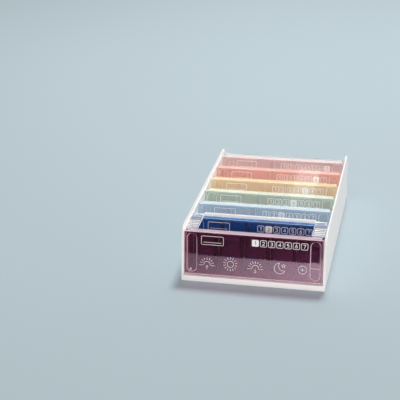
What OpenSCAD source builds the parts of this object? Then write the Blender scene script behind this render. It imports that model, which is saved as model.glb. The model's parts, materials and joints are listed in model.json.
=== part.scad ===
// Weekly pill organiser: a white case with a clear cover and seven leaning day boxes.
// Each day box is a trough with push-in dividers, closed by a sliding front lid.
// The front of the case faces -Y, and the origin is the middle of its underside.

/* [Case] */
// Outer width of the case
case_w = 117; // [110:0.5:130]
// Height of the side walls
case_h = 45; // [44:0.5:50]
// Thickness of the side walls and the back wall
wall_t = 2; // [1.6:0.1:2.4]
// Height of the low rail under the front box
rail_h = 4.8; // [4:0.1:5]
// Height of the back wall, where the cover's foot rests
back_h = 25; // [20:0.5:25.5]
// Radius of the side walls' front top corner
corner_r = 9.5; // [6:0.5:12]
// Radius of the side walls' rear top corner
rear_r = 10; // [2:0.5:12]

/* [Day boxes] */
// Distance from one box to the next, front to back
pitch = 26.25; // [25.5:0.25:28]
// Angle that the boxes lean back
lean = 9; // [6:0.5:10]
// Height of a box along its leaning face
face_h = 37; // [34:0.5:37]
// Depth of a box square to its face
box_t = 20; // [18:0.5:20]
// Outer radius of the trough's two back corners
trough_r = 11; // [6:0.5:12]
// Wall of the trough
tray_t = 1.2; // [1:0.1:1.5]
// Number of compartments in a box
cells = 5; // [3:1:6]
// Thickness of a divider
divider_t = 1; // [0.8:0.1:1.4]

/* [Lids] */
// Thickness of the sliding lid
lid_t = 2; // [1.8:0.1:2.4]
// Depth of the finger grips
grip_depth = 1.1; // [0.6:0.1:1.2]
// Width of a finger grip
grip_w = 8; // [6:0.5:9]
// Height of a finger grip
grip_h = 32.4; // [20:0.2:33]

/* [Cover] */
// Thickness of the cover
cover_t = 1.3; // [1:0.1:1.4]
// Outer radius of the cover's rear end, where it turns down
cover_r = 17; // [15:0.5:17]
// Width of the notch at the cover's front
notch_w = 92; // [80:1:94]
// Distance from the case's front to the back of the notch
notch_back = 36; // [30:0.5:44]
// Height of the rim behind the notch
rim_h = 1.4; // [0.6:0.1:2]
// Number of grip ribs on each side of the notch
grip_ribs = 4; // [2:1:5]

/* [Hidden] */
BOXES = ["purple", "blue", "light_blue", "green", "yellow", "orange", "red"];
TINTS = ["purple", "royalblue", "lightblue", "palegreen", "khaki", "sandybrown", "salmon"];
$fn = 64;
eps = 0.5;

// Gaps between pieces
side_gap = 0.3;
slide_gap = 0.15;
rest_gap = 0.1;
seat_gap = 0.2;
back_gap = 0.55;
rib_gap = 0.35;
tip_gap = 0.5;
edge_gap = 0.2;
tongue_gap = 0.4;

// Where the boxes stand
days = len(BOXES);
first_y = 1.1;
seat_z = 5;
box_z = seat_z + seat_gap;
lip_h = 1.2;
lid_over = 0.6;
tray_h = face_h - lid_over;

// Distance from a box's foot to its furthest point at the back
box_reach = (box_t - trough_r) * cos(lean) + (tray_h - trough_r) * sin(lean) + trough_r;
case_d = first_y + (days - 1) * pitch + box_reach + back_gap + wall_t;
half_w = case_w / 2;
inner_w = case_w - 2 * wall_t;
lid_w = inner_w - 2 * side_gap;

// Rails on a box's ends, and the lid's hooks behind them
flange_t = 1;
rail_t = 1.1;
rail_w = 1.05;
hook_gap = slide_gap;
tray_front = lid_t + slide_gap;
rail_back = tray_front + rail_t;
hook_front = rail_back + hook_gap;
hook_back = hook_front + rail_t;
flange_in = lid_w / 2 - flange_t;
tray_half = flange_in - slide_gap - rail_w;
hook_in = tray_half + slide_gap;
grip_edge = 2.1;
cavity_half = tray_half - tray_t;

// Dividers and the grooves that hold them
cell_pitch = (2 * cavity_half + divider_t) / cells;
groove_depth = 0.4;
groove_gap = 0.05;

// Floor of the case
floor_min = 1.2;
rail_slope = 0.3;
ridge_h = 8.5;
ridge_front = 3.3;
ridge_slope = 0.6;
ridge_back = 0.3;

// Guide ribs, measured from the foot of a box
rib_in = tray_half + rib_gap;
rib_m = hook_back + tip_gap;
rib_t = 2.2;
rib_low = -1;
rib_h = 34;

// Cover and the ledge that carries it
ledge_w = 0.9;
cover_drop = 1.5;
cover_top = case_h - cover_drop;
cover_z = cover_top - cover_t;
ledge_z = cover_z - rest_gap;
cover_w = inner_w + 2 * (ledge_w - edge_gap);
cover_front = first_y + (cover_top - box_z) * tan(lean) + hook_back / cos(lean) + tongue_gap;
cover_back = case_d - edge_gap;
curve_y = cover_back - cover_r;
curve_z = cover_top - cover_r;
curve_w = inner_w - 2 * side_gap;
rim_t = 2;
rib_pitch = 3;

// Puts a piece drawn from the front plane into the frame of the part
module framed() {
    translate([0, -case_d / 2, 0])
        children();
}

// Places a piece drawn square, with its face on XZ, at the foot of box number k
module in_box(k) {
    framed()
        translate([0, first_y + k * pitch, box_z])
            rotate([-lean, 0, 0])
                children();
}

// Sweeps an outline in the YZ plane along X, from x0 to x1
module along_x(x0, x1) {
    translate([x0, 0, 0])
        rotate([90, 0, 90])
            linear_extrude(x1 - x0)
                children();
}

// Trough outline: open at the front, with two round corners at the back
module trough(front, back, low, high, r) {
    translate([front, low])
        square([back - r - front, high - low]);
    intersection() {
        translate([back - r, low])
            square([r, high - low]);
        union() {
            translate([back - r, low + r])
                square([r, high - low - 2 * r]);
            for (y = [low + r, high - r])
                translate([back - r, y])
                    circle(r = r);
        }
    }
}

// Side of the case: the front edge leans with the boxes and its top corner is round
module side_outline() {
    reach = corner_r / tan((90 + lean) / 2);
    corner_y = case_h * tan(lean);
    polygon([[0, 0],
        [corner_y - reach * sin(lean), case_h - reach * cos(lean)],
        [corner_y + reach, case_h - corner_r],
        [corner_y + reach, case_h],
        [case_d - rear_r, case_h],
        [case_d - rear_r, case_h - rear_r],
        [case_d, case_h - rear_r],
        [case_d, 0]]);
    translate([corner_y + reach, case_h - corner_r])
        circle(r = corner_r);
    translate([case_d - rear_r, case_h - rear_r])
        circle(r = rear_r);
}

// Floor outline: a sloping seat for each box, with a ridge in front of all but the first
module floor_outline() {
    fall = tan(lean);
    run = (seat_z - floor_min) / fall;
    polygon([[0, 0], [rail_slope, rail_h], [first_y, seat_z - rest_gap],
        [first_y + run, floor_min], [case_d, floor_min], [case_d, 0]]);
    for (k = [1 : days - 1]) {
        y = first_y + k * pitch;
        polygon([[y - ridge_front, 0],
            [y - ridge_front + ridge_slope, ridge_h],
            [y - ridge_back, ridge_h],
            [y - ridge_back, seat_z],
            [y, seat_z],
            [y + run, floor_min],
            [y + run, 0]]);
    }
}

module case_shell() {
    framed() {
        for (side = [-1, 1])
            side_wall(side);
        along_x(-half_w + wall_t - eps, half_w - wall_t + eps)
            floor_outline();
        translate([-half_w + wall_t - eps, case_d - wall_t, 0])
            cube([inner_w + 2 * eps, wall_t, back_h]);
    }
    for (k = [0 : days - 1])
        in_box(k)
            guide_ribs();
}

// One side wall, with a ledge on its inner side for the edge of the cover's flat part
module side_wall(side) {
    outer = side * half_w;
    inner = side * (half_w - wall_t);
    difference() {
        along_x(min(outer, inner), max(outer, inner))
            side_outline();
        translate([side > 0 ? inner - eps : inner - ledge_w, -eps, ledge_z])
            cube([ledge_w + eps, curve_y + side_gap + eps, case_h]);
    }
}

// Ribs on the side walls behind the lid's hooks, which stop a box from tipping back
module guide_ribs() {
    for (side = [-1, 1])
        translate([side > 0 ? rib_in : -half_w + wall_t - eps, rib_m, rib_low])
            cube([half_w - wall_t + eps - rib_in, rib_t, rib_h]);
}

module case() {
    color("white")
        case_shell();
}

// Rear end of the cover: a quarter round that turns down to a foot on the back wall
module curve_outline() {
    foot = back_h + rest_gap;
    intersection() {
        translate([curve_y, curve_z])
            difference() {
                circle(r = cover_r);
                circle(r = cover_r - cover_t);
            }
        translate([curve_y, curve_z])
            square(cover_r);
    }
    translate([curve_y - eps, cover_z])
        square([eps, cover_t]);
    translate([cover_back - cover_t, foot])
        square([cover_t, curve_z - foot]);
}

module cover() {
    color("whitesmoke", 0.4)
        framed() {
            difference() {
                translate([-cover_w / 2, cover_front, cover_z])
                    cube([cover_w, curve_y - cover_front, cover_t]);
                translate([-notch_w / 2, cover_front - eps, cover_z - eps])
                    cube([notch_w, notch_back - cover_front + eps, cover_t + 2 * eps]);
            }
            along_x(-curve_w / 2, curve_w / 2)
                curve_outline();
            notch_rim();
            tongue_ribs();
        }
}

// Raised rim along the back of the notch, round on top
module notch_rim() {
    along_x(-notch_w / 2, notch_w / 2)
        translate([notch_back + rim_t / 2, 0]) {
            translate([-rim_t / 2, cover_z])
                square([rim_t, cover_t + rim_h - rim_t / 2]);
            translate([0, cover_top + rim_h - rim_t / 2])
                circle(r = rim_t / 2);
        }
}

// Low ribs across the two tongues beside the notch, where the cover is gripped
module tongue_ribs() {
    rib_r = 0.5;
    edge = 1.5;
    for (side = [-1, 1])
        for (n = [1 : grip_ribs])
            along_x(side > 0 ? notch_w / 2 + edge : -cover_w / 2 + edge,
                side > 0 ? cover_w / 2 - edge : -notch_w / 2 - edge)
                translate([cover_front + n * rib_pitch, cover_top])
                    circle(r = rib_r);
}

// Trough of a day box, with a lip under the lid and a rail on each end for its hooks
module tray(k) {
    color(TINTS[k], 0.7)
        in_box(k) {
            difference() {
                along_x(-tray_half, tray_half)
                    trough(tray_front, box_t, 0, tray_h, trough_r);
                along_x(-cavity_half, cavity_half)
                    trough(tray_front - eps, box_t - tray_t, tray_t, tray_h - tray_t,
                        trough_r - tray_t);
                for (n = [1 : cells - 1])
                    divider_slot(n, divider_t / 2 + groove_gap, groove_depth, tray_front - eps);
            }
            translate([-lid_w / 2, 0, 0])
                cube([lid_w, tray_front + eps, lip_h]);
            for (side = [-1, 1])
                translate([side > 0 ? tray_half - eps : -tray_half - rail_w, tray_front, 0])
                    cube([rail_w + eps, rail_t, tray_h]);
        }
}

// Space of divider n: the cavity's outline grown by the depth of its groove
module divider_slot(n, half_t, grow, front) {
    x = -cavity_half - divider_t / 2 + n * cell_pitch;
    along_x(x - half_t, x + half_t)
        trough(front, box_t - tray_t + grow, tray_t - grow, tray_h - tray_t + grow,
            trough_r - tray_t + grow);
}

module dividers(k) {
    color(TINTS[k], 0.5)
        in_box(k)
            for (n = [1 : cells - 1])
                divider_slot(n, divider_t / 2, groove_depth - groove_gap, tray_front + rest_gap);
}

// Sliding lid: a plate over the face, with side flanges that hook behind the rails
module lid(k) {
    low = lip_h + slide_gap;
    flange_h = tray_h - low;
    color(TINTS[k], 0.7)
        in_box(k) {
            difference() {
                translate([-lid_w / 2, 0, low])
                    cube([lid_w, lid_t, face_h - low]);
                for (side = [-1, 1])
                    translate([side * (lid_w / 2 - grip_w / 2 - grip_edge), 0, 0])
                        finger_grip();
            }
            for (side = [-1, 1]) {
                translate([side > 0 ? flange_in : -lid_w / 2, lid_t - eps, low])
                    cube([flange_t, hook_back - lid_t + eps, flange_h]);
                translate([side > 0 ? hook_in : -flange_in - eps, hook_front, low])
                    cube([flange_in + eps - hook_in, hook_back - hook_front, flange_h]);
            }
        }
}

// Long recess with round ends
module finger_grip() {
    low = (face_h + lip_h - grip_h) / 2;
    r = grip_w / 2;
    translate([0, grip_depth, 0])
        rotate([90, 0, 0])
            linear_extrude(grip_depth + eps) {
                translate([-r, low + r])
                    square([grip_w, grip_h - 2 * r]);
                for (z = [low + r, low + grip_h - r])
                    translate([0, z])
                        circle(r = r);
            }
}

case();
cover();
for (k = [0 : days - 1]) {
    tray(k);
    dividers(k);
    lid(k);
}
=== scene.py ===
import json
import math

import bmesh
import bpy
import numpy as np
from mathutils import Matrix, Vector

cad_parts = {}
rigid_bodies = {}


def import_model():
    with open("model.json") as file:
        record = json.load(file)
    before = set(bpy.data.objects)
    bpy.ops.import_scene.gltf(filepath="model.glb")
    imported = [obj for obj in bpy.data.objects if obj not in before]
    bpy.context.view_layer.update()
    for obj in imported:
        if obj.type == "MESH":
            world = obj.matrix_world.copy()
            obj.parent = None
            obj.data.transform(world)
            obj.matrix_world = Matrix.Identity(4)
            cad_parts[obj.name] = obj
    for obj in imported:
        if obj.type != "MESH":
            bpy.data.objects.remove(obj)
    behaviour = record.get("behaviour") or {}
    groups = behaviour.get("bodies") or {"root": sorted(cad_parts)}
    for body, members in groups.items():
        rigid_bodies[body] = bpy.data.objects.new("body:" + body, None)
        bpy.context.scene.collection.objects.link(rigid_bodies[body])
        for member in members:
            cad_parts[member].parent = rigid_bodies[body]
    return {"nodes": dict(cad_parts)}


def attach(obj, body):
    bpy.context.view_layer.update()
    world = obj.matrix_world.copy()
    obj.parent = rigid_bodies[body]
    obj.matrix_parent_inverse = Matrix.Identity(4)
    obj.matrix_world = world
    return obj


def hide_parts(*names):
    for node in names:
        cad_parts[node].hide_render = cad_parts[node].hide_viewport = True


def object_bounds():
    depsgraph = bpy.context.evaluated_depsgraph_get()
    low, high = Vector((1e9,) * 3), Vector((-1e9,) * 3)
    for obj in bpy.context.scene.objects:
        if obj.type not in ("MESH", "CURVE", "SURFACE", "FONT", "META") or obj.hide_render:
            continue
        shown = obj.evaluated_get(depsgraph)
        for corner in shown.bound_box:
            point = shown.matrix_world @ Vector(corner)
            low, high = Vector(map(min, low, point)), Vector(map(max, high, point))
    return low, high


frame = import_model()
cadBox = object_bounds()
mm = 0.001

# Where the day boxes stand, front to back, in millimetres and degrees.
row = {
    "names": ["purple", "blue", "light_blue", "green", "yellow", "orange", "red"],
    "frontGap": 1.1,  # from the case's front to the first box's foot
    "pitch": 26.25,
    "footHeight": 5.2,
    "lean": 9.0,
}
firstFoot = cadBox[0][1] / mm + row["frontGap"]
lean = math.radians(row["lean"])


# A mesh object from an array of points in metres and the points' numbers in each face.
def newPiece(name, points, faces):
    mesh = bpy.data.meshes.new(name)
    mesh.from_pydata(points.tolist(), [], [list(map(int, face)) for face in faces])
    mesh.update()
    piece = bpy.data.objects.new(name, mesh)
    bpy.context.scene.collection.objects.link(piece)
    return piece


# A flat rectangle between a low and a high corner in metres, with its first edge along x.
def newRectangle(name, low, high):
    (x, y, z), (farX, farY, farZ) = low, high
    corners = np.array([(x, y, z), (farX, y, z), (farX, farY, farZ), (x, farY, farZ)], float)
    return newPiece(name, corners, [[0, 1, 2, 3]])


# Screen colour of 0 to 255 as a linear colour, by the curve of the sRGB standard.
def linear(red, green, blue):
    channels = np.array([red, green, blue]) / 255
    return tuple(np.where(channels <= 0.04045, channels / 12.92, ((channels + 0.055) / 1.055) ** 2.4))


# Each channel raised to a power and scaled: powers over 1 deepen a tint, and under 1 pale it.
def toned(colour, power=1.0, share=1.0):
    return tuple(channel**power * share for channel in colour)


def opaque(colour):
    return (*colour, 1.0)


def newMaterial(name):
    material = bpy.data.materials.new(name)
    material.use_nodes = True
    nodes, links = material.node_tree.nodes, material.node_tree.links
    nodes.clear()
    return material, nodes, links


def toSurface(nodes, links, shader):
    out = nodes.new("ShaderNodeOutputMaterial")
    links.new(shader, out.inputs["Surface"])


# Spreads one span of a value over another, held at both ends.
def mapRange(nodes, links, value, span, onto):
    spread = nodes.new("ShaderNodeMapRange")
    for socket, number in zip(("From Min", "From Max", "To Min", "To Max"), (*span, *onto)):
        spread.inputs[socket].default_value = number
    links.new(value, spread.inputs["Value"])
    return spread.outputs["Result"]


# Sum, comparison or the like of a socket with a second socket or a number.
def calculate(nodes, links, operation, first, second):
    step = nodes.new("ShaderNodeMath")
    step.operation = operation
    links.new(first, step.inputs[0])
    if isinstance(second, float):
        step.inputs[1].default_value = second
    else:
        links.new(second, step.inputs[1])
    return step.outputs[0]


def mixShaders(nodes, links, factor, first, second):
    mix = nodes.new("ShaderNodeMixShader")
    links.new(factor, mix.inputs["Fac"])
    links.new(first, mix.inputs[1])
    links.new(second, mix.inputs[2])
    return mix.outputs["Shader"]


# How the tone, the roughness and the skin of moulded plastic vary. The wander is a share of the
# roughness, up and down, and skins are heights in metres.
plastic = {
    "ior": 1.5,
    "noiseSpan": (0.3, 0.7),  # the stretch of the noise that is spread out
    "flowDetail": 3.0, "skinDetail": 2.0, "skinStrength": 0.4,
    "solidTone": 0.965, "solidWander": 0.15,
    "clearPower": 1.12, "clearWander": 0.3,
    "clearSlow": 45.0, "clearFine": 300.0, "clearSkin": 0.000002,
}


# A slow noise for the flow of the plastic and a fine one for its skin, both in the piece's own
# coordinates.
def flowNoise(nodes, links, slow, fine):
    place = nodes.new("ShaderNodeTexCoord")
    found = []
    for scale, detail in ((slow, plastic["flowDetail"]), (fine, plastic["skinDetail"])):
        noise = nodes.new("ShaderNodeTexNoise")
        noise.inputs["Scale"].default_value = scale
        noise.inputs["Detail"].default_value = detail
        links.new(place.outputs["Object"], noise.inputs["Vector"])
        found.append(noise.outputs["Fac"])
    return found


def twoTone(nodes, links, factor, first, second):
    mix = nodes.new("ShaderNodeMix")
    mix.data_type = "RGBA"
    mix.inputs["A"].default_value = opaque(first)
    mix.inputs["B"].default_value = opaque(second)
    links.new(factor, mix.inputs["Factor"])
    return mix.outputs["Result"]


# A roughness that goes up and down with the flow.
def wandering(nodes, links, flow, middle, wander):
    return mapRange(nodes, links, flow, plastic["noiseSpan"],
                    (middle * (1 - wander), middle * (1 + wander)))


def skinBump(nodes, links, factor, height):
    bump = nodes.new("ShaderNodeBump")
    bump.inputs["Distance"].default_value = height
    bump.inputs["Strength"].default_value = plastic["skinStrength"]
    links.new(factor, bump.inputs["Height"])
    return bump.outputs["Normal"]


# Solid moulded plastic: even colour with a faint flow, satin skin. The slow and the fine noise
# are given by their scales.
def solidPlastic(name, colour, rough, slow=30.0, fine=2500.0, skin=0.00001, gloss=0.5):
    material, nodes, links = newMaterial(name)
    flow, grain = flowNoise(nodes, links, slow, fine)
    shell = nodes.new("ShaderNodeBsdfPrincipled")
    shell.inputs["IOR"].default_value = plastic["ior"]
    shell.inputs["Specular IOR Level"].default_value = gloss
    colours = twoTone(nodes, links, flow, colour, toned(colour, share=plastic["solidTone"]))
    links.new(colours, shell.inputs["Base Color"])
    links.new(wandering(nodes, links, flow, rough, plastic["solidWander"]), shell.inputs["Roughness"])
    links.new(skinBump(nodes, links, grain, skin), shell.inputs["Normal"])
    toSurface(nodes, links, shell.outputs["BSDF"])
    return material


# Clear tinted plastic: glass for what is seen, with the share that isn't clear cloudy, and
# plainly transparent to shadow rays, which take on the shade, so that the inside is lit.
def clearPlastic(name, tint, clear, rough, shade):
    material, nodes, links = newMaterial(name)
    flow, grain = flowNoise(nodes, links, plastic["clearSlow"], plastic["clearFine"])
    glass = nodes.new("ShaderNodeBsdfPrincipled")
    glass.inputs["IOR"].default_value = plastic["ior"]
    glass.inputs["Transmission Weight"].default_value = clear
    colours = twoTone(nodes, links, flow, tint, toned(tint, plastic["clearPower"]))
    links.new(colours, glass.inputs["Base Color"])
    links.new(wandering(nodes, links, flow, rough, plastic["clearWander"]), glass.inputs["Roughness"])
    links.new(skinBump(nodes, links, grain, plastic["clearSkin"]), glass.inputs["Normal"])
    through = nodes.new("ShaderNodeBsdfTransparent")
    through.inputs["Color"].default_value = opaque(shade)
    path = nodes.new("ShaderNodeLightPath")
    toSurface(nodes, links, mixShaders(nodes, links, path.outputs["Is Shadow Ray"],
                                       glass.outputs["BSDF"], through.outputs["BSDF"]))
    return material


# How a node's triangles become a moulded shape: angles are in degrees.
moulding = {
    "decimals": 7,  # of a metre, to which points count as the same
    "flatAngle": 0.6,
    "sharpAngle": 40,
    "roundSteps": 2,
    "flatWeight": 100,
}


# A node's mesh with its equal points merged: each corner gets its place's number in the sorted
# list of different places.
def mergedNode(node, name):
    source = frame["nodes"][node].data
    points = np.empty(len(source.vertices) * 3, np.float32)
    source.vertices.foreach_get("co", points)
    corners = np.empty(len(source.loops), np.int32)
    source.loops.foreach_get("vertex_index", corners)
    points = np.round(points.reshape(-1, 3), moulding["decimals"])
    places, numbers = np.unique(points, axis=0, return_inverse=True)
    return newPiece(name, places, numbers.reshape(-1)[corners].reshape(-1, 3))


# Joins triangles that lie flat together, splits the faces at y = cutAt, and gives each zone's
# faces the zone's material. Materials 0 and 1 are the piece's own and its edges'.
def joinFaces(piece, zones, cutAt):
    shape = bmesh.new()
    shape.from_mesh(piece.data)
    bmesh.ops.dissolve_limit(shape, angle_limit=math.radians(moulding["flatAngle"]),
                             verts=shape.verts, edges=shape.edges)
    if cutAt is not None:
        everything = shape.verts[:] + shape.edges[:] + shape.faces[:]
        bmesh.ops.bisect_plane(shape, geom=everything, plane_co=(0, cutAt, 0), plane_no=(0, 1, 0))
    bmesh.ops.connect_verts_concave(shape, faces=shape.faces)
    for face in shape.faces:
        face.smooth = True
        for i, (_, inZone) in enumerate(zones):
            if inZone(face):
                face.material_index = i + 2
    shape.to_mesh(piece.data)
    shape.free()


# A copy of a node with a small round on its sharp edges, whose width is in millimetres. Each
# zone is a material and a test of the faces that take it.
def mouldedCopy(node, name, body, material, edge, edgeMaterial=None, zones=(), cutAt=None):
    piece = mergedNode(node, name)
    joinFaces(piece, zones, cutAt)
    bevel = piece.modifiers.new("edges", "BEVEL")
    bevel.width = edge * mm
    bevel.segments = moulding["roundSteps"]
    bevel.limit_method = "ANGLE"
    bevel.angle_limit = math.radians(moulding["sharpAngle"])
    bevel.use_clamp_overlap = False
    flatten = piece.modifiers.new("shading", "WEIGHTED_NORMAL")
    flatten.weight = moulding["flatWeight"]
    piece.data.materials.append(material)
    if edgeMaterial:
        for other in (edgeMaterial, *(zoneMaterial for zoneMaterial, _ in zones)):
            piece.data.materials.append(other)
        bevel.material = 1
    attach(piece, body)
    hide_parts(node)


case = {
    "colour": (0.93, 0.92, 0.91),
    "rough": 0.34,
    "edge": 0.35,  # width of the rounds on its edges, in millimetres
}

print("case")
caseWhite = solidPlastic("case_white", case["colour"], case["rough"])
mouldedCopy("case", "case_moulding", "case", caseWhite, case["edge"])


# The cover is frosted from the frost line forwards, and most on its notch's rim, which lies just
# in front of the line between the two sides. Lengths are in millimetres, and a shade is what
# the lamps' light takes on in the plastic.
cover = {
    "tint": (0.94, 0.96, 0.97),
    "clear": 0.95, "rough": 0.05, "shade": (0.95, 0.96, 0.97),
    "edge": 0.3, "edgeClear": 0.05, "edgeRough": 0.2,
    "frontClear": 0.88, "frontRough": 0.06,
    "rimClear": 0.1, "rimRough": 0.25,
    "frostShade": (0.9, 0.9, 0.9),
    "frostLine": -54.5, "rimFront": -56.6, "rimSide": 46.1, "reach": 0.1,
}


# The cover's plastic on its edges, its front or its rim.
def frostedPlastic(part):
    return clearPlastic("cover_" + part, cover["tint"], cover[part + "Clear"], cover[part + "Rough"],
                        cover["frostShade"])


def inFront(face):
    return face.calc_center_median().y < cover["frostLine"] * mm


def onRim(face):
    middle = face.calc_center_median() / mm
    inDepth = cover["rimFront"] < middle.y < cover["frostLine"] + cover["reach"]
    return inDepth and abs(middle.x) < cover["rimSide"]


print("cover")
coverClear = clearPlastic("cover_clear", cover["tint"], cover["clear"], cover["rough"], cover["shade"])
mouldedCopy("cover", "cover_moulding", "cover", coverClear, cover["edge"],
            frostedPlastic("edge"), [(frostedPlastic("front"), inFront), (frostedPlastic("rim"), onRim)],
            cover["frostLine"] * mm)


# Each tint has the light that one wall lets through, the wall's clear share, the colour of the box's
# top, and how deep the colour is that a surface gives the lamps' light. The top's colour is painted
# light: it gives the top faces the brightness that light from above lends them, lighter than the wall on
# most boxes and darker on the blue one. The powers pale or deepen the wall's tint.
dayBox = {
    "edge": 0.3,
    "lidRough": 0.03,
    "trayHaze": 0.22, "trayRough": 0.06,
    # Partly painted highlight: the lids' rounded edges take the wall's tint paled and clouded, a frosted
    # edge that also stands in for the light it catches.
    "edgeSheenPower": 0.3, "edgeClear": 0.3, "edgeRough": 0.15,
    "topClear": 0.5, "topRough": 0.12,
    # Painted light: the tip tone is the wall's tint paled nearly to white, a light line drawn on the
    # dividers' back edges and the troughs' rounded edges.
    "lightLinePower": 0.05, "tipClear": 0.12, "tipRough": 0.4,
    # Painted shade: the dividers take the wall's tint deepened far beyond the wall's own, for the dark
    # strips that shade and the slanting view give beside them.
    "dividerShadePower": 3.2, "dividerRough": 0.03,
    "insideShade": (0.9, 0.9, 0.9),
    "topFacing": 0.9, "topHeight": 36.0,  # how far a top face looks up, and its height, at least
    "backFacing": 0.6,  # how far a divider's back edge looks to the back, at least
    "tints": {
        "purple": {"wall": (0.50, 0.25, 0.36), "clear": 0.98, "top": (0.86, 0.70, 0.80), "depth": 0.75},
        "blue": {"wall": (0.14, 0.41, 0.67), "clear": 0.97, "top": (0.01, 0.18, 0.50), "depth": 0.5},
        "light_blue": {"wall": (0.61, 0.78, 0.90), "clear": 0.9, "top": (0.78, 0.88, 0.90),
                       "depth": 0.3},
        "green": {"wall": (0.62, 0.75, 0.63), "clear": 0.9, "top": (0.97, 0.97, 0.74), "depth": 0.3},
        "yellow": {"wall": (0.97, 0.82, 0.42), "clear": 0.88, "top": (0.93, 0.74, 0.39), "depth": 0.3},
        "orange": {"wall": (0.97, 0.48, 0.36), "clear": 0.88, "top": (0.86, 0.57, 0.42), "depth": 0.3},
        "red": {"wall": (0.91, 0.68, 0.65), "clear": 0.9, "top": (0.92, 0.77, 0.78), "depth": 0.3},
    },
}


# The plastics of one day box, all from its wall's tint.
def boxPlastics(name):
    tint = dayBox["tints"][name]
    wall, clear = tint["wall"], tint["clear"]
    shade, inside = toned(wall, tint["depth"]), dayBox["insideShade"]
    pale, paintedLineLight = toned(wall, dayBox["edgeSheenPower"]), toned(wall, dayBox["lightLinePower"])
    # The dividers' tint, deepened as painted shade.
    deep = toned(wall, dayBox["dividerShadePower"])
    trayClear = clear - dayBox["trayHaze"]
    return {
        "lid": clearPlastic(name + "_clear", wall, clear, dayBox["lidRough"], shade),
        "tray": clearPlastic(name + "_tray", wall, trayClear, dayBox["trayRough"], shade),
        # The lid's edges: paled and cloudy, frosted and with a painted highlight.
        "edge": clearPlastic(name + "_edge", pale, dayBox["edgeClear"], dayBox["edgeRough"], shade),
        # Painted light: the top faces take the lit top band's colour, not the wall's own tint.
        "top": clearPlastic(name + "_lit_top", tint["top"], dayBox["topClear"], dayBox["topRough"], shade),
        # Painted light line: a near-white, cloudy tone for edges that should shine.
        "tip": clearPlastic(name + "_light_line", paintedLineLight, dayBox["tipClear"], dayBox["tipRough"], inside),
        "divider": clearPlastic(name + "_divider", deep, clear, dayBox["dividerRough"], inside),
    }


upward = Vector((0, math.sin(lean), math.cos(lean)))  # along the leaning face


# The top of a box: faces near its upper end that look along the face's upward direction.
def isTop(face):
    looksUp = face.normal.dot(upward) > dayBox["topFacing"]
    return looksUp and face.calc_center_median().z > dayBox["topHeight"] * mm


# The back edge of a divider, which sits in the trough's back wall and takes the painted light line.
def isBack(face):
    return face.normal.y > dayBox["backFacing"]


print("day boxes")
for name in row["names"]:
    box = boxPlastics(name)
    # The troughs' rounded edges and the dividers' back edges get the near-white painted light line.
    mouldedCopy(name + "_tray", name + "_trough", name + "_box", box["tray"], dayBox["edge"],
                box["tip"], [(box["top"], isTop)])
    mouldedCopy(name + "_dividers", name + "_divider_set", name + "_box", box["divider"],
                dayBox["edge"], box["divider"], [(box["tip"], isBack)])
    mouldedCopy(name + "_lid", name + "_front", name + "_lid", box["lid"], dayBox["edge"],
                box["edge"], [(box["top"], isTop)])


# The marks are white prints on each lid's face: x from its middle and y up the face from its
# foot, in millimetres. A print is as thick as its ink and sinks a little into what it lies on.
marks = {
    "line": 0.33,
    "ink": 0.06, "sink": 0.01,
    "sharpest": 0.6,  # squared length of two added edge normals, under which a corner is cut short
    "colour": (0.93, 0.92, 0.92), "rough": 0.45,
    "slow": 200.0, "fine": 5000.0, "skin": 0.000003,
}


# Points of a day's box: x across, depth square to the leaning face, up along the face.
# y = foot + up sin(lean) + depth cos(lean), z = foot height + up cos(lean) - depth sin(lean)
def inBox(day, x, depth, up):
    foot = firstFoot + day * row["pitch"]
    y = foot + up * math.sin(lean) + depth * math.cos(lean)
    z = row["footHeight"] + up * math.cos(lean) - depth * math.sin(lean)
    return np.stack([x, y, z], axis=-1) * mm


# Points of a circle's arc: middle plus radius times cosine and sine, between two angles in degrees.
def arc(x, y, radius, start, end, count=24):
    turn = np.radians(np.linspace(start, end, count))
    return np.stack([x + radius * np.cos(turn), y + radius * np.sin(turn)], axis=1)


# A whole circle: an arc right round, without the end that repeats its start.
def circle(x, y, radius, count=40):
    return arc(x, y, radius, 0, 360, count + 1)[:-1]


# Rectangle with round corners, counter-clockwise: four quarter circles joined end to end.
def roundedBox(x, y, width, height, radius, count=5):
    right, top = width / 2 - radius, height / 2 - radius
    middles = [(right, top, 0), (-right, top, 90), (-right, -top, 180), (right, -top, 270)]
    return np.concatenate([arc(x + across, y + up, radius, start, start + 90, count)
                           for across, up, start in middles])


# Ribbon of even width along a line: each corner is moved left and right along the sum of its two
# edge normals, over half the sum's squared length. The strip has two layers, front and back.
def ribbon(line, width, closed=False):
    line = np.asarray(line, float)
    step = np.roll(line, -1, axis=0) - line
    if not closed:
        step[-1] = step[-2]
    step /= np.linalg.norm(step, axis=1, keepdims=True)
    before = np.roll(step, 1, axis=0)
    if not closed:
        before[0] = step[0]
    side = np.stack([-(step + before)[:, 1], (step + before)[:, 0]], axis=1)
    side /= np.maximum((side**2).sum(1, keepdims=True), marks["sharpest"]) / 2
    left, right = line + side * width / 2, line - side * width / 2
    n = len(line)
    flat = np.concatenate([left, right, left, right])
    layer = np.repeat([0, 1], 2 * n)
    i = np.arange(n if closed else n - 1)
    j = (i + 1) % n
    faces = [
        np.stack([i, j, n + j, n + i], axis=1),
        np.stack([2 * n + i, 3 * n + i, 3 * n + j, 2 * n + j], axis=1),
        np.stack([i, 2 * n + i, 2 * n + j, j], axis=1),
        np.stack([n + i, n + j, 3 * n + j, 3 * n + i], axis=1),
    ]
    if not closed:
        faces.append(np.array([[0, n, 3 * n, 2 * n], [n - 1, 3 * n - 1, 4 * n - 1, 2 * n - 1]]))
    return flat, layer, np.concatenate(faces)


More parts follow.
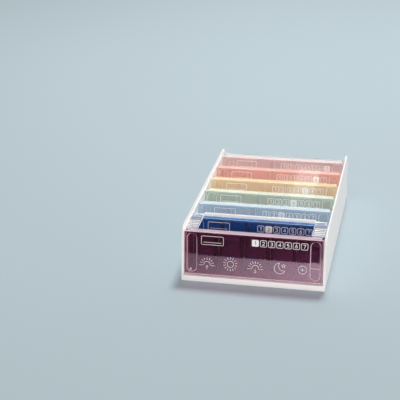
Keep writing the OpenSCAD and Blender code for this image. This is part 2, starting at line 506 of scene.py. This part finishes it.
# Filled plate with a given outline, counter-clockwise: triangles from its middle, in two layers,
# with a rim of quads between them. A triangle's last corner is given twice.
def plate(outline):
    outline = np.asarray(outline, float)
    n = len(outline)
    points = np.concatenate([outline, outline.mean(0, keepdims=True)])
    flat = np.concatenate([points, points])
    layer = np.repeat([0, 1], n + 1)
    i = np.arange(n)
    j = (i + 1) % n
    back = n + 1
    faces = [
        np.stack([i, j, np.full(n, n), np.full(n, n)], axis=1),
        np.stack([back + j, back + i, np.full(n, back + n), np.full(n, back + n)], axis=1),
        np.stack([i, back + i, back + j, j], axis=1),
    ]
    return flat, layer, np.concatenate(faces)


# Prints on a day's face, as one mesh: layer 0 stands off the face by the lift plus the ink, and
# layer 1 by the lift less the sink. A shape's fourth value, where it has one, puts it deeper.
def printOn(day, name, shapes, ink, lift=0.0):
    points, faces, start = [], [], 0
    for flat, layer, quads, *deeper in shapes:
        depth = np.where(layer == 0, -(ink + lift), marks["sink"] - lift) + sum(deeper)
        points.append(inBox(day, flat[:, 0], depth, flat[:, 1]))
        faces.append(quads + start)
        start += len(flat)
    quads = np.concatenate(faces)
    piece = newPiece(name, np.concatenate(points), [q[:3] if q[2] == q[3] else q for q in quads])
    shape = bmesh.new()
    shape.from_mesh(piece.data)
    bmesh.ops.recalc_face_normals(shape, faces=shape.faces)
    shape.to_mesh(piece.data)
    shape.free()
    return piece


squares = {
    "firstX": 1.75, "step": 6.57, "y": 30.95,
    "size": 5.6, "corner": 0.9, "line": 0.38,
    "digitHeight": 2.9, "digitLine": 0.44,
    # The filled square's own digit is printed on it, in a deep tone of the box's tint.
    "ink": 0.03, "lift": 0.05, "inkPower": 2, "inkShare": 0.6, "inkRough": 0.4,
}

# Digits 1 to 7 as lines, in a field one unit high and about 0.6 wide.
digits = {
    1: [(-0.16, 0.3), (0.08, 0.5), (0.08, -0.5)],
    2: [*arc(0, 0.2, 0.29, 165, -35, 12), (-0.3, -0.46), (0.32, -0.46)],
    3: [*arc(-0.02, 0.24, 0.25, 150, -80, 10), *arc(-0.02, -0.22, 0.28, 80, -150, 12)],
    4: [(0.14, -0.5), (0.14, 0.48), (-0.32, -0.2), (0.34, -0.2)],
    5: [(0.27, 0.46), (-0.2, 0.46), (-0.25, 0.04), *arc(0, -0.18, 0.3, 115, -140, 14)],
    6: [(0.16, 0.5), (-0.14, 0.16), *arc(0, -0.2, 0.29, 150, 510, 22)],
    7: [(-0.3, 0.46), (0.3, 0.46), (-0.06, -0.5)],
}


# A digit's line, scaled to its height and moved to the middle of its square.
def digitShape(number):
    x = squares["firstX"] + (number - 1) * squares["step"]
    line = np.array(digits[number]) * squares["digitHeight"] + (x, squares["y"])
    return ribbon(line, squares["digitLine"])


# Seven squares: the day's own is filled, and the others are outlines round their digits.
def daySquares(day):
    shapes = []
    for i in range(len(row["names"])):
        x, y = squares["firstX"] + i * squares["step"], squares["y"]
        size, line = squares["size"], squares["line"]
        if i == day:
            shapes.append(plate(roundedBox(x, y, size, size, squares["corner"])))
        else:
            outline = roundedBox(x, y, size - line, size - line, squares["corner"])
            shapes += [ribbon(outline, line, True), digitShape(i + 1)]
    return shapes


sun = {
    "sunriseX": -37.4, "noonX": -18.2, "sunsetX": 2.1,
    "middleY": 11.6, "horizonY": 9.6,
    "radius": 2.6, "rayFrom": 4.0, "rayTo": 5.9,
    "noonRays": 14, "lowRays": 7, "lowestRay": 18,  # the lowest ray's angle over the horizon
    "rise": 0.3, "drop": 0.4,  # of the low sun's middle and of the ground from the horizon
    "dip": 10,  # degrees of the low sun's arc below its middle, on each side
    "groundFrom": 3.0, "groundTo": 6.6,
    "arrow": 3.1, "riseGap": 0.1, "setGap": 0.2, "headHeight": 0.95, "headHalf": 1.0,
}


# Straight rays round (x, y): one ribbon for each angle, from one radius to another.
def rays(x, y, angles):
    turn = np.radians(angles)
    way = np.stack([np.cos(turn), np.sin(turn)], axis=1)
    ends = np.stack([way * sun["rayFrom"], way * sun["rayTo"]], axis=1) + (x, y)
    return [ribbon(ray, marks["line"]) for ray in ends]


# Sun on the horizon: an arc, rays over it, the ground on each side and an arrow up or down below.
def lowSun(x, rising):
    line, y, groundY = marks["line"], sun["horizonY"] + sun["rise"], sun["horizonY"] - sun["drop"]
    near, far, half = sun["groundFrom"], sun["groundTo"], sun["headHalf"]
    upper = groundY - (sun["riseGap"] if rising else sun["setGap"])
    lower = upper - sun["arrow"]
    tip, tail, wings = lower, upper, sun["headHeight"]
    if rising:
        tip, tail, wings = upper, lower, -sun["headHeight"]
    return [
        ribbon(arc(x, y, sun["radius"], -sun["dip"], 180 + sun["dip"]), line),
        ribbon([(x - far, groundY), (x - near, groundY)], line),
        ribbon([(x + near, groundY), (x + far, groundY)], line),
        ribbon([(x, tail), (x, tip)], line),
        ribbon([(x - half, tip + wings), (x, tip), (x + half, tip + wings)], line),
        *rays(x, y, np.linspace(sun["lowestRay"], 180 - sun["lowestRay"], sun["lowRays"])),
    ]


# Sun at noon: a circle with rays right round it, at even angles from the top.
def noonSun():
    x, y = sun["noonX"], sun["middleY"]
    angles = np.arange(sun["noonRays"]) * 360 / sun["noonRays"] + 90
    return [ribbon(circle(x, y, sun["radius"]), marks["line"], True), *rays(x, y, angles)]


moon = {
    "x": 21.9, "y": 11.4,
    "radius": 4.5, "outer": (93, 335, 34),  # first and last degree of an arc, and its points
    "biteX": 2.9, "biteY": 1.9, "biteRadius": 3.9, "inner": (268, 160, 20),
    "starX": 3.0, "starY": 2.3, "starTips": 5, "starNear": 0.75, "starFar": 1.75, "starLine": 0.8,
}


# Crescent and star: two arcs of circles that meet at the horns, as one closed line, and points
# round a middle, far and near in turn.
def moonAndStar():
    x, y, line = moon["x"], moon["y"], marks["line"]
    outer = arc(x, y, moon["radius"], *moon["outer"])
    inner = arc(x + moon["biteX"], y + moon["biteY"], moon["biteRadius"], *moon["inner"])
    step = np.arange(2 * moon["starTips"])
    turn = np.radians(step * 180 / moon["starTips"] + 90)
    reach = np.where(step % 2, moon["starNear"], moon["starFar"])
    star = np.stack([reach * np.cos(turn), reach * np.sin(turn)], axis=1)
    star += (x + moon["starX"], y + moon["starY"])
    return [ribbon(np.concatenate([outer, inner]), line, True),
            ribbon(star, line * moon["starLine"], True)]


plus = {"x": 40.0, "y": 11.6, "radius": 3.35, "arm": 1.6}


# Plus in a circle: one line across, and one each above and below it that start at its edges.
def plusSign():
    x, y, arm, line = plus["x"], plus["y"], plus["arm"], marks["line"]
    return [ribbon(circle(x, y, plus["radius"]), line, True),
            ribbon([(x - arm, y), (x + arm, y)], line),
            ribbon([(x, y - arm), (x, y - line / 2)], line),
            ribbon([(x, y + line / 2), (x, y + arm)], line)]


# The finger grips lie deeper than the face. The left has a small triangle, the right a line.
grip = {
    "x": 50.1, "depth": 1.1,
    "lineY": 13.0, "lineLength": 7.6,
    "wedgeSide": 2.0, "wedgeFoot": 4.3, "wedgeTip": 6.0,
}


def gripMarks():
    x, y, half, side = grip["x"], grip["lineY"], grip["lineLength"] / 2, grip["wedgeSide"]
    wedge = [(-x - side, grip["wedgeFoot"]), (-x, grip["wedgeFoot"]), (-x - side / 2, grip["wedgeTip"])]
    return [(*plate(wedge), grip["depth"]),
            (*ribbon([(x - half, y), (x + half, y)], marks["line"]), grip["depth"])]


label = {
    "x": -33.2, "y": 30.3, "width": 18.0, "height": 7.2, "corner": 0.8,
    "writeDrop": 1.6, "writeHalf": 7.4, "writeLine": 0.3,
}


# The write-on field: a rounded outline with one line in it.
def labelMarks():
    x, y, half = label["x"], label["y"] - label["writeDrop"], label["writeHalf"]
    outline = roundedBox(x, label["y"], label["width"], label["height"], label["corner"])
    return [ribbon(outline, marks["line"], True),
            ribbon([(x - half, y), (x + half, y)], label["writeLine"])]


def faceMarks(day):
    return [*daySquares(day), *lowSun(sun["sunriseX"], True), *lowSun(sun["sunsetX"], False),
            *noonSun(), *moonAndStar(), *plusSign(), *gripMarks(), *labelMarks()]


def numberInk(name):
    colour = toned(dayBox["tints"][name]["wall"], squares["inkPower"], squares["inkShare"])
    return solidPlastic(name + "_ink", colour, squares["inkRough"])


print("printed marks")
inkWhite = solidPlastic("ink_white", marks["colour"], marks["rough"], marks["slow"], marks["fine"],
                        marks["skin"])
for day, name in enumerate(row["names"]):
    prints = printOn(day, name + "_marks", faceMarks(day), marks["ink"])
    prints.data.materials.append(inkWhite)
    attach(prints, name + "_lid")
    number = printOn(day, name + "_number", [digitShape(day + 1)], squares["ink"], squares["lift"])
    number.data.materials.append(numberInk(name))
    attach(number, name + "_lid")


paper = {
    "colour": linear(190, 207, 215),
    "half": 6.0,  # metres from the middle to an edge
    "rough": 0.9, "slow": 3.0, "fine": 800.0, "gloss": 0.0,
}

print("floor")
half = paper["half"]
floor = newRectangle("floor", (-half, -half, 0), (half, half, 0))
floorPaper = solidPlastic("floor_paper", paper["colour"], paper["rough"], paper["slow"],
                          paper["fine"], gloss=paper["gloss"])
floor.data.materials.append(floorPaper)


# Cards that are seen in mirrors only, in metres. The first box's face mirrors the front card in
# its lower half and the dark card above. The flat cover mirrors the cover card as a pale patch, and
# the boxes' tops mirror the rear card. A card's light goes from its first strength to its second
# over a span of one axis.
cards = {
    "front_card": {"low": (-0.2, -0.214, 0.0005), "high": (0.2, -0.094, 0.0005),
                   "strengths": (1.6, 5.0), "span": (-0.07, 0.05), "colour": (1.0, 0.82, 0.97)},
    "cover_card": {"low": (-0.149, 1.12, 0.6), "high": (-0.1, 1.355, 0.6),
                   "strengths": (0.3, 1.3), "span": (1.14, 1.25), "axis": "Y"},
    "rear_card": {"low": (-0.6, 1.0, 0.11), "high": (0.4, 1.0, 0.25),
                  "strengths": (1.8, 1.0), "span": (-0.26, -0.16)},
    "dark_card": {"low": (-2.0, -3.0, 0.0004), "high": (2.0, -0.214, 0.0004),
                  "strengths": (0.03, 0.03), "span": (-1.0, 1.0)},
}

# Rays see a card after at least one mirroring, and after passing at most four surfaces.
cardRays = {"mirrorings": 0.5, "surfaces": 4.5}


# Light where the ray may see the card, and plainly transparent elsewhere.
def cardGlow(name, strengths, span, axis, colour):
    material, nodes, links = newMaterial(name + "_glow")
    place = nodes.new("ShaderNodeTexCoord")
    axes = nodes.new("ShaderNodeSeparateXYZ")
    links.new(place.outputs["Object"], axes.inputs["Vector"])
    glow = nodes.new("ShaderNodeEmission")
    glow.inputs["Color"].default_value = opaque(colour)
    links.new(mapRange(nodes, links, axes.outputs[axis], span, strengths), glow.inputs["Strength"])
    path = nodes.new("ShaderNodeLightPath")
    near = calculate(nodes, links, "LESS_THAN", path.outputs["Transmission Depth"],
                     cardRays["surfaces"])
    mirrored = calculate(nodes, links, "GREATER_THAN", path.outputs["Glossy Depth"],
                         cardRays["mirrorings"])
    seen = calculate(nodes, links, "MULTIPLY", near, mirrored)
    through = nodes.new("ShaderNodeBsdfTransparent")
    toSurface(nodes, links, mixShaders(nodes, links, seen, through.outputs["BSDF"],
                                       glow.outputs["Emission"]))
    return material


def reflectionCard(name, low, high, strengths, span, axis="X", colour=(1.0, 1.0, 1.0)):
    card = newRectangle(name, low, high)
    card.data.materials.append(cardGlow(name, strengths, span, axis, colour))
    card.visible_camera = False
    card.visible_diffuse = False
    card.visible_shadow = False


print("cards")
for name, settings in cards.items():
    reflectionCard(name, **settings)


# The sky lights matt surfaces with one strength, and is seen with another.
sky = {"colour": (1.0, 0.98, 0.97), "lights": 0.34, "seen": 0.5}

print("sky")
world = bpy.data.worlds.new("studio")
bpy.context.scene.world = world
world.use_nodes = True
nodes, links = world.node_tree.nodes, world.node_tree.links
nodes.clear()
path = nodes.new("ShaderNodeLightPath")
seen = calculate(nodes, links, "MAXIMUM", path.outputs["Is Glossy Ray"],
                 path.outputs["Is Transmission Ray"])
seen = calculate(nodes, links, "MAXIMUM", seen, path.outputs["Is Camera Ray"])
backdrop = nodes.new("ShaderNodeBackground")
backdrop.inputs["Color"].default_value = opaque(sky["colour"])
links.new(mapRange(nodes, links, seen, (0.0, 1.0), (sky["lights"], sky["seen"])),
          backdrop.inputs["Strength"])
out = nodes.new("ShaderNodeOutputWorld")
links.new(backdrop.outputs["Background"], out.inputs["Surface"])


# Square lamps in metres and watts. Mirror and glass rays don't see the low ones, which would turn
# the flat cover white from behind, and they don't light the floor, which would glow beneath them.
lamps = {
    "key_lamp": {"place": (0.09, 0.69, 1.44), "target": (0, 0, 0), "size": 0.3, "power": 15.8,
                 "colour": (1.0, 0.985, 0.97)},
    "fill_lamp": {"place": (-0.2, -1.5, 0.4), "target": (0, 0, 0.02), "size": 1.0, "power": 9.2,
                  "colour": (1.0, 0.90, 0.87), "low": True},
    "top_lamp": {"place": (-0.15, -0.75, 1.2), "target": (0, 0, 0.02), "size": 0.6, "power": 2.3,
                 "colour": (1.0, 0.97, 0.95)},
    "side_lamp": {"place": (1.6, -0.3, 0.4), "target": (0, 0, 0.02), "size": 0.9, "power": 11.6,
                  "colour": (1.0, 0.86, 0.81), "low": True},
}

print("lamps")
allButFloor = bpy.data.collections.new("all_but_floor")  # what the low lamps light
for piece in bpy.context.scene.collection.objects:
    if piece.type == "MESH" and piece != floor:
        allButFloor.objects.link(piece)


def areaLamp(name, place, target, size, power, colour, low=False):
    lamp = bpy.data.lights.new(name, "AREA")
    lamp.shape = "SQUARE"
    lamp.size = size
    lamp.energy = power
    lamp.color = colour
    holder = bpy.data.objects.new(name, lamp)
    way = Vector(target) - Vector(place)
    holder.matrix_world = Matrix.Translation(place) @ way.to_track_quat("-Z", "Y").to_matrix().to_4x4()
    if low:
        holder.visible_glossy = False
        holder.visible_transmission = False
        holder.light_linking.receiver_collection = allButFloor
    bpy.context.scene.collection.objects.link(holder)


for name, settings in lamps.items():
    areaLamp(name, **settings)


camera = {
    "place": (0.13511, -0.86167, 0.43319),
    "view": (-0.20322, 0.88680, -0.41507),
    "roll": -1.5457,  # degrees
    "lens": 99.41,
    "sensor": 36,
    "nearest": 0.01,
}

print("camera")
lens = bpy.data.cameras.new("camera")
lens.sensor_width = camera["sensor"]
lens.lens = camera["lens"]
lens.clip_start = camera["nearest"]
eye = bpy.data.objects.new("camera", lens)
forward = Vector(camera["view"]).normalized()
level = forward.cross(Vector((0, 0, 1))).normalized()
upright = level.cross(forward)
roll = math.radians(camera["roll"])
right = level * math.cos(roll) + upright * math.sin(roll)
up = upright * math.cos(roll) - level * math.sin(roll)
turn = Matrix((right, up, -forward)).transposed().to_4x4()
eye.matrix_world = Matrix.Translation(camera["place"]) @ turn
bpy.context.scene.collection.objects.link(eye)
bpy.context.scene.camera = eye

# Enough for rays that pass through the cover and all the boxes.
bounces = {"all": 24, "transmission": 24, "transparent": 32}

scene = bpy.context.scene
scene.view_settings.view_transform = "Standard"
scene.cycles.max_bounces = bounces["all"]
scene.cycles.transmission_bounces = bounces["transmission"]
scene.cycles.transparent_max_bounces = bounces["transparent"]
